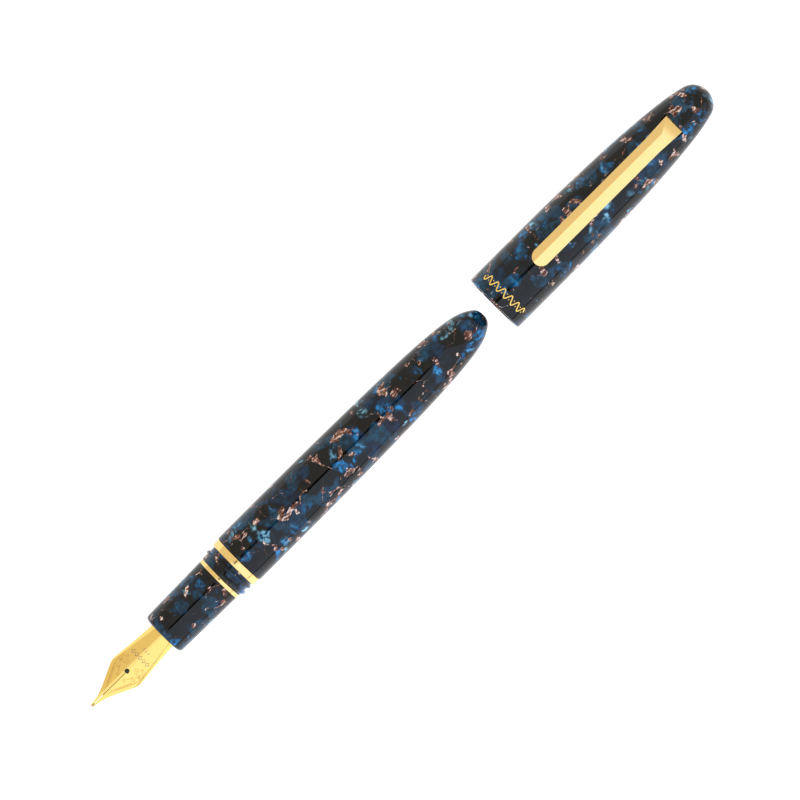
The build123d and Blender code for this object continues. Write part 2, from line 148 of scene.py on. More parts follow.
class PenStage(bpy.types.PropertyGroup):
    near: FloatProperty(name="Near light", description="Brightness of the near side", default=1.2, min=0.0)
    far: FloatProperty(name="Far light", description="Brightness of the far side", default=0.80, min=0.0)
    near_tint: FloatVectorProperty(
        name="Near tint", description="Colour of the near light", subtype="COLOR", default=(0.98, 1.08, 1.25)
    )
    far_tint: FloatVectorProperty(
        name="Far tint", description="Colour of the far light", subtype="COLOR", default=(1.02, 0.98, 0.88)
    )
    width: FloatProperty(
        name="View width",
        description="Width seen at the pen",
        subtype="DISTANCE",
        unit="LENGTH",
        default=0.1808,
    )
    lens: FloatProperty(name="Lens", description="Focal length in millimetres", default=250.0, min=10.0)


def settings(name):
    return getattr(bpy.context.scene, name)


# ---- modelling ----
def deselect():
    for obj in bpy.context.selected_objects:
        obj.select_set(False)


def pick(obj):
    """Selects one object alone and makes it the active one."""
    deselect()
    obj.select_set(True)
    bpy.context.view_layer.objects.active = obj


def start_edit(obj):
    pick(obj)
    bpy.ops.object.mode_set(mode="EDIT")
    bpy.ops.mesh.select_all(action="SELECT")


def end_edit():
    bpy.ops.object.mode_set(mode="OBJECT")


def outward(obj):
    """Turns a closed mesh's faces outwards."""
    start_edit(obj)
    bpy.ops.mesh.normals_make_consistent(inside=False)
    end_edit()


def modify(obj, kind, **values):
    """Adds a modifier and applies it. A tool used by it is then removed."""
    pick(obj)
    modifier = obj.modifiers.new(kind.lower(), kind)
    for key, value in values.items():
        setattr(modifier, key, value)
    bpy.ops.object.modifier_apply(modifier=modifier.name)
    if "object" in values:
        bpy.data.objects.remove(values["object"])


def cut(piece, tool):
    modify(piece, "BOOLEAN", operation="DIFFERENCE", solver="EXACT", object=tool)


def fuse(piece, other):
    modify(piece, "BOOLEAN", operation="UNION", solver="EXACT", object=other)


def keep_common(piece, other):
    modify(piece, "BOOLEAN", operation="INTERSECT", solver="EXACT", object=other)


def soften(piece, width, degrees=30):
    """Rounds a piece's sharp edges."""
    modify(
        piece, "BEVEL", width=width * MM, segments=2, limit_method="ANGLE", angle_limit=radians(degrees),
        use_clamp_overlap=True,
    )


def finished(piece, body, name, replaced=(), degrees=35):
    """Seats a piece in its place: applied, smoothed, painted, riding on its body."""
    pick(piece)
    bpy.ops.object.transform_apply(location=True, rotation=True, scale=True)
    bpy.ops.object.shade_smooth_by_angle(angle=radians(degrees))
    piece.data.materials.clear()
    piece.data.materials.append(material(name))
    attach(piece, body)
    if replaced:
        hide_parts(*replaced)
    return piece


def turned(name, outline):
    """A solid turned about the pen's axis: a circle drawn out and resized from station to station.

    The outline is (x, radius) pairs. It starts and ends on the axis, or ends where it starts."""
    point = 0.001
    (x, radius), rest = outline[0], outline[1:]
    radius = max(radius, point)
    deselect()
    bpy.ops.mesh.primitive_circle_add(
        vertices=settings("pen_metal").facets,
        radius=radius * MM,
        location=(x * MM, 0, AXIS * MM),
        rotation=(0, pi / 2, 0),
    )
    piece = bpy.context.object
    piece.name = name
    bpy.ops.object.transform_apply(location=True, rotation=True, scale=True)
    start_edit(piece)
    for next_x, next_radius in rest:
        next_radius = max(next_radius, point)
        bpy.ops.mesh.extrude_edges_move(TRANSFORM_OT_translate={"value": ((next_x - x) * MM, 0, 0)})
        growth = next_radius / radius
        if abs(growth - 1) > 1e-9:
            bpy.ops.transform.resize(value=(1, growth, growth), center_override=(next_x * MM, 0, AXIS * MM))
        x, radius = next_x, next_radius
    bpy.ops.mesh.select_all(action="SELECT")
    bpy.ops.mesh.remove_doubles(threshold=3 * point * MM)
    bpy.ops.mesh.normals_make_consistent(inside=False)
    end_edit()
    return piece


def prism(name, points, square_to, start, end):
    """A straight solid: a flat outline drawn out along x, y or z between two levels."""

    def place(pair, level):
        a, b = pair
        return {"x": (level, a, b), "y": (a, level, b), "z": (a, b, level)}[square_to]

    deselect()
    bpy.ops.mesh.primitive_circle_add(vertices=len(points), radius=MM, fill_type="NGON")
    piece = bpy.context.object
    piece.name = name
    for vertex, pair in zip(piece.data.vertices, points):
        vertex.co = Vector(place(pair, start)) * MM
    start_edit(piece)
    travel = Vector(place((0, 0), end - start)) * MM
    bpy.ops.mesh.extrude_region_move(TRANSFORM_OT_translate={"value": travel})
    bpy.ops.mesh.select_all(action="SELECT")
    bpy.ops.mesh.normals_make_consistent(inside=False)
    end_edit()
    return piece


def ridge(start, length, pitch, root, width, height):
    """A rounded thread ridge: an oval wound along the pen's axis, closed at both ends."""
    deselect()
    bpy.ops.mesh.primitive_circle_add(
        vertices=16, radius=width / 2 * MM, location=(start * MM, 0, AXIS * MM), rotation=(pi / 2, 0, 0)
    )
    piece = bpy.context.object
    bpy.ops.object.transform_apply(location=False, rotation=True, scale=True)
    start_edit(piece)
    bpy.ops.transform.resize(value=(1, 1, 2 * height / width), center_override=(start * MM, 0, AXIS * MM))
    bpy.ops.transform.translate(value=(0, 0, root * MM))
    end_edit()
    turns = length / pitch
    modify(
        piece, "SCREW", axis="X", angle=2 * pi * turns, screw_offset=length * MM,
        steps=round(96 * turns), render_steps=round(96 * turns),
    )
    start_edit(piece)
    bpy.ops.mesh.fill_holes(sides=0)
    bpy.ops.mesh.select_all(action="SELECT")
    bpy.ops.mesh.normals_make_consistent(inside=False)
    end_edit()
    pick(piece)
    bpy.ops.object.transform_apply(location=True, rotation=True, scale=True)
    return piece


def corner(x, radius, size, start, end, steps=5):
    """Stations round a corner: an arc about (x, radius), between two angles in degrees."""
    angles = [radians(start + (end - start) * step / steps) for step in range(steps + 1)]
    return [(x + size * cos(angle), radius + size * sin(angle)) for angle in angles]


def flowing(points, first, last, steps):
    """Stations on a smooth curve through the points, setting out and arriving in given directions."""
    spots = [Vector(point) for point in points]
    spans = [(b - a).length for a, b in zip(spots, spots[1:])]
    slopes = [(b - a) / span for a, b, span in zip(spots, spots[1:], spans)]
    ways = [Vector(first), *slopes[1:], Vector(last)]
    for _ in range(60):
        for i in range(1, len(spots) - 1):
            before, after = spans[i - 1], spans[i]
            pull = 3 * (after * slopes[i - 1] + before * slopes[i])
            ways[i] = (pull - after * ways[i - 1] - before * ways[i + 1]) / (2 * (before + after))
    stations = [tuple(spots[0])]
    for i, span in enumerate(spans):
        for step in range(1, steps + 1):
            t = step / steps
            place = (
                (2 * t**3 - 3 * t**2 + 1) * spots[i]
                + (t**3 - 2 * t**2 + t) * span * ways[i]
                + (3 * t**2 - 2 * t**3) * spots[i + 1]
                + (t**3 - t**2) * span * ways[i + 1]
            )
            stations.append(tuple(place))
    return stations


def between(stations, x):
    """Height of a line of stations at x."""
    for (x0, y0), (x1, y1) in zip(stations, stations[1:]):
        if x0 <= x <= x1:
            return y0 + (y1 - y0) * (x - x0) / max(x1 - x0, 1e-9)
    return stations[0][1] if x < stations[0][0] else stations[-1][1]


def cut_lines(name, lines, width):
    """Round wires along lines of points, as one mesh."""
    curve = bpy.data.curves.new(name, "CURVE")
    curve.dimensions = "3D"
    curve.bevel_depth = width / 2 * MM
    curve.bevel_resolution = 2
    curve.use_fill_caps = True
    for points in lines:
        spline = curve.splines.new("POLY")
        spline.points.add(len(points) - 1)
        for spot, point in zip(spline.points, points):
            spot.co = (*(Vector(point) * MM), 1)
    piece = bpy.data.objects.new(name, curve)
    bpy.context.scene.collection.objects.link(piece)
    pick(piece)
    bpy.ops.object.convert(target="MESH")
    return bpy.context.object


# ---- materials ----
class Value:
    """A node's output, with arithmetic that adds Math nodes."""

    def __init__(self, nodes, socket):
        self.nodes = nodes
        self.socket = socket

    def _maths(self, operation, first, second):
        return self.nodes.node("ShaderNodeMath", {"operation": operation}, {0: first, 1: second})

    def __add__(self, other):
        return self._maths("ADD", self, other)

    def __radd__(self, other):
        return self._maths("ADD", other, self)

    def __sub__(self, other):
        return self._maths("SUBTRACT", self, other)

    def __rsub__(self, other):
        return self._maths("SUBTRACT", other, self)

    def __mul__(self, other):
        return self._maths("MULTIPLY", self, other)

    def __rmul__(self, other):
        return self._maths("MULTIPLY", other, self)


class Nodes:
    """A node tree under construction."""

    def __init__(self, tree):
        self.tree = tree

    def node(self, kind, settings=None, inputs=None, output=0):
        """Adds any node: its own settings first, then the values or links of its sockets."""
        made = self.tree.nodes.new(kind)
        for key, value in (settings or {}).items():
            if key == "stops":
                elements = made.color_ramp.elements
                while len(elements) < len(value):
                    elements.new(0.5)
                for element, (position, colour) in zip(elements, value):
                    element.position = position
                    element.color = (*colour, 1.0)
            else:
                setattr(made, key, value)
        for key, value in (inputs or {}).items():
            if isinstance(value, Value):
                self.tree.links.new(value.socket, made.inputs[key])
            else:
                made.inputs[key].default_value = value
        return Value(self, made.outputs[output])

    def vector(self, operation, first, second):
        key = "Scale" if operation == "SCALE" else 1
        return self.node("ShaderNodeVectorMath", {"operation": operation}, {0: first, key: second})

    def noise(self, place, scale, detail=3.0, output="Fac"):
        inputs = {"Vector": place, "Scale": scale, "Detail": detail}
        return self.node("ShaderNodeTexNoise", None, inputs, output)

    def cells(self, feature, inputs, output):
        return self.node("ShaderNodeTexVoronoi", {"feature": feature}, inputs, output)

    def ease(self, value, low, high):
        """0 below low, 1 above high, and a smooth step between."""
        return self.node(
            "ShaderNodeMapRange",
            {"interpolation_type": "SMOOTHSTEP"},
            {"Value": value, "From Min": low, "From Max": high},
        )

    def mix(self, share, first, second, blend="MIX"):
        first, second = (v if isinstance(v, Value) else (*v, 1.0) for v in (first, second))
        return self.node(
            "ShaderNodeMix", {"data_type": "RGBA", "blend_type": blend}, {0: share, 6: first, 7: second}, 2
        )

    def warp(self, place, scale, amount):
        """The place moved about by a soft noise of the given size."""
        wander = self.vector("SUBTRACT", self.noise(place, scale, 2.0, "Color"), (0.5, 0.5, 0.5))
        return self.vector("ADD", place, self.vector("SCALE", wander, amount))

    def dim(self, colour, amount):
        """The colour times a number."""
        grey = self.node("ShaderNodeCombineColor", None, {0: amount, 1: amount, 2: amount})
        return self.mix(1.0, colour, grey, "MULTIPLY")

    def parts(self, colour):
        return [self.node("ShaderNodeSeparateColor", None, {0: colour}, part) for part in range(3)]


class Paint(Nodes):
    """A material under construction, placed by millimetres on the piece."""

    def __init__(self, name):
        self.material = bpy.data.materials.new(name)
        self.material.use_nodes = True
        super().__init__(self.material.node_tree)
        self.place = self.vector("SCALE", self.node("ShaderNodeTexCoord", output="Object"), 1 / MM)

    def finish(self, **values):
        """Sets or links the shader's sockets, with _ for a space, and gives the material."""
        shader = self.tree.nodes["Principled BSDF"]
        for key, value in values.items():
            socket = shader.inputs[key.replace("_", " ")]
            if isinstance(value, Value):
                self.tree.links.new(value.socket, socket)
            elif socket.type == "RGBA":
                socket.default_value = (*value, 1.0)
            else:
                socket.default_value = value
        return self.material


def chunk_resin(name, shift):
    """Polished resin: murky soft chunks, bright chips with painted pearly sheen over them and torn copper
    veins with painted highlights between.
    """
    paint = Paint(name)
    look = settings("pen_resin")
    place = paint.vector("ADD", paint.place, shift)
    bent = paint.warp(place, 0.5, 1.5)

    # murky ground, its chunks soft against each other
    cells = {"Vector": bent, "Scale": 0.8 / look.chunk, "Smoothness": 0.35}
    tone = paint.parts(paint.cells("SMOOTH_F1", cells, "Color"))[0]
    stops = [(0.0, look.base), (0.43, look.base), (0.54, look.murk), (0.63, look.navy), (0.78, look.petrol)]
    ground = paint.node("ShaderNodeValToRGB", {"stops": stops}, {"Fac": tone})
    depth = 0.25 + 0.9 * paint.ease(paint.noise(place, 0.7, 3.0), 0.32, 0.68)
    ground = paint.dim(ground, depth)

    # bright chips with soft edges, brightened along streaks that lean their own way in each chip: the streaks
    # are painted sheen over the chips' own azure and pale blue
    chips = {"Vector": paint.vector("ADD", bent, (13.0, 5.0, 9.0)), "Scale": 1 / look.chunk}
    pick_one, strength, lean = paint.parts(paint.cells("F1", chips, "Color"))
    rim = paint.cells("DISTANCE_TO_EDGE", chips, "Distance")
    turn = paint.node("ShaderNodeCombineXYZ", None, {0: lean * 3.0, 1: strength * 3.0, 2: pick_one * 5.0})
    leaning = paint.node(
        "ShaderNodeVectorRotate", {"rotation_type": "EULER_XYZ"}, {"Vector": bent, "Rotation": turn}
    )
    drawn = paint.vector("MULTIPLY", leaning, (0.22, 1.0, 1.0))
    chip_sheen = paint.ease(paint.noise(drawn, 1.0, 3.0), 0.34, 0.66)
    cloud = paint.ease(paint.noise(place, 0.26, 2.0), 0.36, 0.56)
    chosen = paint.ease(pick_one, 0.68, 0.74) * paint.ease(rim, 0.0, 0.24)
    hue = paint.mix(paint.ease(strength + chip_sheen * 0.35, 0.80, 1.25), look.azure, look.pale)
    chip = paint.dim(hue, 0.20 + 1.0 * chip_sheen)
    coloured = paint.mix(chosen * (0.20 + 0.75 * chip_sheen) * (0.3 + 0.7 * cloud), ground, chip)

    # veins: torn walls of larger cells, fanned out in places into streaked patches, with painted sheen and
    # painted highlights along their fibres
    torn = paint.warp(paint.warp(place, 0.16, 3.4), 0.7, 0.5)
    walls = {"Vector": torn, "Scale": 1 / look.vein}
    wall = paint.cells("DISTANCE_TO_EDGE", walls, "Distance")
    kept = paint.ease(paint.noise(place, 0.24, 1.0), 0.49, 0.57)
    fan = paint.ease(paint.noise(paint.vector("ADD", place, (4.0, 8.0, 2.0)), 0.34, 1.0), 0.48, 0.70)
    grain = paint.vector("MULTIPLY", paint.warp(place, 0.5, 2.2), (0.5, 1.7, 1.7))
    fibre = paint.noise(grain, 1.1, 3.0)
    width = kept * (0.010 + 0.20 * fan) + fan * kept * (fibre - 0.5) * 0.22
    vein = (1.0 - paint.ease(wall - width, -0.012, 0.003)) * paint.ease(kept, 0.1, 0.4)
    # painted sheen along the fibres: each vein runs from dark rust to copper, and its pinkish-white streaks
    # are painted highlights
    sheen = paint.ease(fibre, 0.40, 0.60)
    metal = paint.mix(paint.ease(fibre, 0.52, 0.66), paint.mix(sheen, look.rust, look.copper), look.vein_highlight)
    return paint.finish(Base_Color=paint.mix(vein, coloured, metal), Roughness=0.03 + vein * 0.03, IOR=1.40)


def gold_plate(name, gold):
    """Polished gold plate with faint rubbing marks."""
    paint = Paint(name)
    rubbed = paint.noise(paint.place, 1.6, 6.0)
    colour = paint.mix(rubbed * 0.15, gold, paint.dim(gold, 0.86))
    return paint.finish(Base_Color=colour, Metallic=1.0, Roughness=0.10 + rubbed * 0.10)


def engraved_gold():
    """Duller gold in cut lines."""
    paint = Paint("engraved_gold")
    grain = paint.noise(paint.place, 9.0, 3.0)
    colour = paint.mix(grain, (0.52, 0.29, 0.075), (0.76, 0.46, 0.15))
    return paint.finish(Base_Color=colour, Metallic=1.0, Roughness=0.45)


def filled_line():
    """Grey-brown filling of the nib's row of marks."""
    paint = Paint("filled_line")
    grain = paint.noise(paint.place, 7.0, 3.0)
    return paint.finish(
        Base_Color=paint.mix(grain, (0.16, 0.12, 0.12), (0.34, 0.27, 0.25)), Metallic=0.6, Roughness=0.5
    )


def plated_metal(name, roughness):
    """Bright plated metal, finely brushed round the pen's axis."""
    paint = Paint(name)
    brushed = paint.noise(paint.vector("MULTIPLY", paint.place, (9.0, 0.5, 0.5)), 2.0, 3.0)
    colour = paint.mix(brushed, settings("pen_metal").steel, (0.74, 0.74, 0.76))
    return paint.finish(Base_Color=colour, Metallic=1.0, Roughness=roughness + (brushed - 0.5) * 0.12)


def hard_tip():
    """Hard pellet welded under the nib's point, a duller gold than the nib."""
    paint = Paint("hard_tip")
    grain = paint.noise(paint.place, 12.0, 3.0)
    colour = paint.mix(grain, (0.70, 0.47, 0.22), (0.82, 0.60, 0.32))
    return paint.finish(Base_Color=colour, Metallic=1.0, Roughness=0.4)


def moulded(name, dark, light, roughness):
    """Moulded plastic or rubber with a fine grain."""
    paint = Paint(name)
    grain = paint.noise(paint.place, 6.0, 4.0)
    bump = paint.node("ShaderNodeBump", None, {"Strength": 0.10, "Distance": 0.00002, "Height": grain})
    return paint.finish(
        Base_Color=paint.mix(grain, dark, light),
        Roughness=roughness * 0.85 + grain * (roughness * 0.3),
        Normal=bump,
    )


def clear_plastic():
    """Clear moulded tube, with a faint haze."""
    paint = Paint("clear_plastic")
    haze = paint.noise(paint.place, 0.8, 2.0)
    return paint.finish(
        Base_Color=(0.80, 0.86, 0.90),
        Roughness=0.04 + haze * 0.03,
        IOR=1.49,
        Alpha=0.25 + haze * 0.1,
    )


MAKERS = {
    "barrel_resin": lambda: chunk_resin("barrel_resin", (0.0, 40.0, 0.0)),
    "section_resin": lambda: chunk_resin("section_resin", (7.0, 3.0, 5.0)),
    "cap_resin": lambda: chunk_resin("cap_resin", (31.0, 11.0, 2.0)),
    "nib_gold": lambda: gold_plate("nib_gold", settings("pen_metal").gold),
    "trim_gold": lambda: gold_plate("trim_gold", settings("pen_metal").trim),
    "engraved_gold": engraved_gold,
    "filled_line": filled_line,
    "plated_metal": lambda: plated_metal("plated_metal", 0.20),
    "hard_tip": hard_tip,
    "black_plastic": lambda: moulded("black_plastic", (0.006, 0.006, 0.007), (0.016, 0.016, 0.018), 0.30),
    "rod_plastic": lambda: moulded("rod_plastic", (0.46, 0.48, 0.51), (0.60, 0.62, 0.65), 0.32),
    "seal_rubber": lambda: moulded("seal_rubber", (0.012, 0.012, 0.013), (0.028, 0.028, 0.030), 0.6),
    "clear_plastic": clear_plastic,
}
made_materials = {}


def material(name):
    """Each material is made once, when the first piece asks for it."""
    if name not in made_materials:
        made_materials[name] = MAKERS[name]()
    return made_materials[name]


# ---- barrel ----
# The thread that the cap screws onto: its root's radius, its pitch, and the width of its rounded ridge.
THREAD_ROOT, THREAD_PITCH = 5.9, 1.8
RIDGE_WIDTH = 1.05
# Distance back from the tail's end, and radius there.
TAPER = [
    (59.1, BODY_RADIUS),
    (33.8, 6.385),
    (19.33, 5.95),
    (8.5, 5.06),
    (3.1, 3.72),
    (1.43, 2.77),
    (0.44, 1.83),
    (0.0, 0.0),
]


class PEN_OT_barrel(bpy.types.Operator):
    """Barrel with its cap thread and its long taper, and the gold band round it"""

    bl_idname = "pen.barrel"
    bl_label = "Barrel"

    def execute(self, context):
        bore = 3.9
        bore_end = TAIL - 13.2
        straight_end = TAIL - TAPER[0][0]
        tail = flowing([(TAIL - back, r) for back, r in TAPER], (1, 0), (0, -1), 9)
        shell = turned(
            "barrel_shell",
            [
                (bore_end, 0),
                (bore_end, bore),
                (INSERT_END, bore),
                (INSERT_END, INSERT_RADIUS),
                (BARREL_FACE, INSERT_RADIUS),
                *corner(BARREL_FACE + 0.15, THREAD_ROOT - 0.15, 0.15, 180, 90, 3),
                (BODY_FACE, THREAD_ROOT),
                *corner(BODY_FACE + 0.12, BODY_RADIUS - 0.12, 0.12, 180, 90, 3),
                (BODY_FACE + 1, BODY_RADIUS),
                (straight_end - 1, BODY_RADIUS),
                *tail,
            ],
        )
        fuse(shell, ridge(BARREL_FACE + 0.65, 2.63, THREAD_PITCH, THREAD_ROOT, RIDGE_WIDTH, 0.475))
        finished(shell, "barrel", "barrel_resin", ["barrel"])

        outline = ring(BAND_FACE, BODY_FACE - 0.02, radius_of("barrel_band"), THREAD_ROOT + 0.02, 0.3)
        finished(turned("band", outline), "barrel", "trim_gold", ["barrel_band"], 50)
        return {"FINISHED"}


def ring(start, end, outer, inner, edge):
    """Closed outline of a ring with rounded outer edges."""
    return [
        (start, inner),
        *corner(start + edge, outer - edge, edge, 180, 90),
        *corner(end - edge, outer - edge, edge, 90, 0),
        (end, inner),
        (start, inner),
    ]


# ---- grip section ----
class PEN_OT_section(bpy.types.Operator):
    """Grip section, rounded at the nib, and the gold ring behind it"""

    bl_idname = "pen.section"
    bl_label = "Grip section"

    def execute(self, context):
        front, rear, edge = 5.5, 5.8, 0.9
        slope = (rear - front) / (RING_FACE - SECTION_FACE)
        grip = turned(
            "grip",
            [
                (SECTION_FACE, COLLAR_RADIUS),
                *corner(SECTION_FACE + edge, front - edge, edge, 180, 90, 10),
                (SECTION_FACE + 3, front + 3 * slope),
                (RING_FACE - 1, rear - slope),
                *corner(RING_FACE - 0.1, rear - 0.1, 0.1, 90, 0, 2),
                (RING_FACE, TENON_RADIUS),
                (TENON_FACE, TENON_RADIUS),
                (TENON_FACE, COLLAR_RADIUS),
                (SECTION_FACE, COLLAR_RADIUS),
            ],
        )
        finished(grip, "section", "section_resin", ["grip_section"])
        outline = ring(RING_FACE, BARREL_FACE, radius_of("section_ring"), TENON_RADIUS + 0.03, 0.18)
        finished(turned("grip_ring", outline), "section_ring", "trim_gold", ["section_ring"], 50)
        return {"FINISHED"}


# ---- nib ----
SLOPE, FLARE, FACE_RADIUS = radians(14.5), radians(11.3), 3.3
NIB_WALL = 0.5
SLIT_HALF = 0.06
HOLE_AT, HOLE_RADIUS = 11.4, 0.55
NIB_STEP = COLLAR_FACE - TIP
NIB_END = high_x("nib") - TIP


def nib_edge():
    """Half-width of the nib seen from above, against the distance from its tip."""
    tine = flowing([(0.5, 0.4), (2.7, 0.8), (4.5, 1.42), (7.2, 2.68), (9.9, 3.95)], (1, 0.15), (0.9, 0.44), 6)
    shoulder = flowing([(9.9, 3.95), (10.9, 4.26), (12.4, 4.2)], (0.9, 0.44), (1, -0.1), 8)
    back = flowing([(12.4, 4.2), (17.2, 3.7), (NIB_STEP, 3.35)], (1, -0.1), (1, -0.05), 6)
    return [*tine, *shoulder[1:-1], *back]


def cone_spot(s, angle, lift=0.0):
    """Point on the nib's outer face, s from the tip and the given angle round from the top."""
    if s > NIB_STEP + 0.01:
        radius = 3.2 + lift
        return Vector((TIP + s, radius * sin(angle), AXIS + radius * cos(angle)))
    at_face = FACE_RADIUS * (cos(SLOPE) + sin(SLOPE) * tan(FLARE))
    x = TIP + s - SECTION_FACE
    along = -(x + at_face * cos(angle) * sin(SLOPE)) / (cos(SLOPE) + tan(FLARE) * cos(angle) * sin(SLOPE))
    radius = at_face + along * tan(FLARE) + lift
    axis_way = Vector((-cos(SLOPE), 0, -sin(SLOPE)))
    up_way = Vector((-sin(SLOPE), 0, cos(SLOPE)))
    start = Vector((SECTION_FACE, 0, AXIS))
    return start + axis_way * along + radius * (Vector((0, sin(angle), 0)) + up_way * cos(angle))


def angle_at(s, y):
    """Angle round the nib at which it is y wide, no further than its lower edge."""
    angle = 0.0
    for _ in range(6):
        spot = cone_spot(s, angle)
        radius = abs(spot.y / sin(angle)) if angle > 1e-4 else FACE_RADIUS + 0.2 * max(NIB_STEP - s, 0)
        angle = asin(min(abs(y) / radius, 1.0))
    return angle


def on_nib(s, y, lift=0.0):
    angle = angle_at(s, y)
    return cone_spot(s, angle if y >= 0 else -angle, lift)


class PEN_OT_nib(bpy.types.Operator):
    """Gold nib with its slit and breather hole, and the lines cut into it"""

    bl_idname = "pen.nib"
    bl_label = "Nib"

    def execute(self, context):
        edge = nib_edge()
        lowest = acos(-0.4 / FACE_RADIUS)
        hole = [HOLE_AT - HOLE_RADIUS * cos(pi * step / 14) for step in range(15)]
        front = [0.5 + (hole[0] - 0.5) * step / 46 for step in range(46)]
        back = [hole[-1] + (NIB_STEP - hole[-1]) * step / 40 for step in range(1, 41)]
        stations = [*front, *hole, *back, NIB_STEP + 0.35, NIB_END]
        columns = 24

        deselect()
        bpy.ops.mesh.primitive_grid_add(x_subdivisions=len(stations) - 1, y_subdivisions=columns, size=1)
        nib = bpy.context.object
        nib.name = "nib_blade"
        for vertex in nib.data.vertices:
            s = stations[round((vertex.co.x + 0.5) * (len(stations) - 1))]
            share = vertex.co.y + 0.5
            if s < HOLE_AT:
                inner = max(SLIT_HALF, sqrt(max(HOLE_RADIUS**2 - (s - HOLE_AT) ** 2, 0)))
            else:
                inner = sqrt(max(HOLE_RADIUS**2 - (s - HOLE_AT) ** 2, 0))
            first = angle_at(s, inner) if inner > 0 else 0.0
            last = angle_at(s, between(edge, s))
            wrapped = min(max(s - NIB_STEP + 1.2, 0), 1)
            last += (lowest - last) * wrapped * wrapped * (3 - 2 * wrapped)
            vertex.co = cone_spot(s, first + (last - first) * share) * MM
        start_edit(nib)
        bpy.ops.mesh.normals_make_consistent(inside=False)
        end_edit()
        if nib.data.polygons[0].normal.z < 0:
            start_edit(nib)
            bpy.ops.mesh.flip_normals()
            end_edit()
        modify(nib, "MIRROR", use_axis=(False, True, False), merge_threshold=2e-6)
        modify(nib, "SOLIDIFY", thickness=NIB_WALL * MM, offset=-1.0)
        soften(nib, 0.06, 40)
        finished(nib, "nib_unit", "nib_gold", ["nib"], 30)

        lines, marks = engraving(edge)
        finished(cut_lines("nib_engraving", lines, settings("pen_metal").line), "nib_unit", "engraved_gold")
        finished(cut_lines("nib_marks", marks, 0.13), "nib_unit", "filled_line")
        return {"FINISHED"}


def spiral(s, y, size, turn, sweep, grow=0.12, steps=26):
    """Points of a curl that opens from a small eye."""
    points = []
    for step in range(steps + 1):
        t = step / steps
        angle = radians(turn + sweep * t)
        radius = size * (grow + (1 - grow) * t)
        points.append((s + radius * cos(angle), y + radius * sin(angle)))
    return points


def engraving(edge):
    """Cut lines on both tines, and a row of lozenges where the wing is plain."""
    flat = []
    for inset, first, last in ((0.95, 4.6, 10.6), (1.35, 5.6, 10.2)):
        flat.append([(s, between(edge, s) - inset) for s in steps_between(first, last, 24)])
    for s in steps_between(6.4, 10.0, 11):
        height = between(edge, s) - 1.15
        flat.append([(s, height), (s + 0.18, height + 0.09)])
    curls = [
        spiral(12.9, 1.45, 0.62, 20, 480),
        spiral(13.9, 2.45, 0.42, 200, -430),
        spiral(9.4, 1.15, 0.46, -60, 420),
        spiral(10.9, 2.25, 0.55, 90, -400),
        spiral(12.2, 3.05, 0.40, -30, 400),
    ]
    stems = [
        flowing([(12.3, 1.5), (12.2, 2.3), (12.9, 2.95), (13.5, 2.9)], (0, 1), (1, -0.3), 6),
        flowing([(9.85, 1.3), (10.5, 1.75), (11.4, 2.1)], (1, 0.2), (1, 0.4), 6),
        flowing([(11.4, 2.5), (11.9, 2.75), (12.2, 3.4)], (1, 0.2), (0, 1), 6),
        flowing([(10.4, 3.05), (11.4, 3.45), (12.6, 3.5), (14.2, 3.2)], (1, 0.4), (1, -0.2), 6),
    ]
    flat += curls + stems
    lines = []
    for side in (1, -1):
        for line in flat:
            lines.append([on_nib(s, side * y, 0.01) for s, y in line])
    marks = []
    for centre in (-2.2, -1.1, 0.0, 1.1, 2.2):
        lozenge = [(15.1, 0.0), (15.6, 0.42), (16.1, 0.0), (15.6, -0.42), (15.1, 0.0)]
        marks.append([on_nib(s, centre + y, 0.01) for s, y in lozenge])
    for centre in (-0.75, 0.0, 0.75):
        marks.append([on_nib(s, centre, 0.01) for s in (17.2, 17.9)])
    for side in (1, -1):
        marks.append([on_nib(s, side * 2.62, 0.0) for s in (21.9, 22.05)])
    return lines, marks


def steps_between(first, last, count):
    return [first + (last - first) * step / count for step in range(count + 1)]


# ---- cap ----
# Distance back from the crown's end, and radius there.
CROWN_TAPER = [
    (49.45, CAP_RADIUS),
    (36.8, 7.4),
    (22.33, 6.8),
    (11.5, 5.88),
    (7.5, 5.34),
    (4.25, 4.68),
    (2.5, 4.12),
    (1.27, 3.22),
    (0.41, 1.87),
    (0.0, 0.0),
]
# Bores of the cap from the lip inwards: how far each reaches, and its radius.
MOUTH_THREAD, INNER_CAP_BORE, PLUG_BORE = 6.47, 5.45, 4.6
MOUTH_END, WIDE_END, INNER_CAP_END, PLUG_END = 5.3, 24.05, 51.35, 58.6
WIDE_BORE = 6.15
# The slot that the clip is folded into, from the lip, and half its width.
SLOT_START, SLOT_END, SLOT_HALF = 55.75, 57.35, 2.85


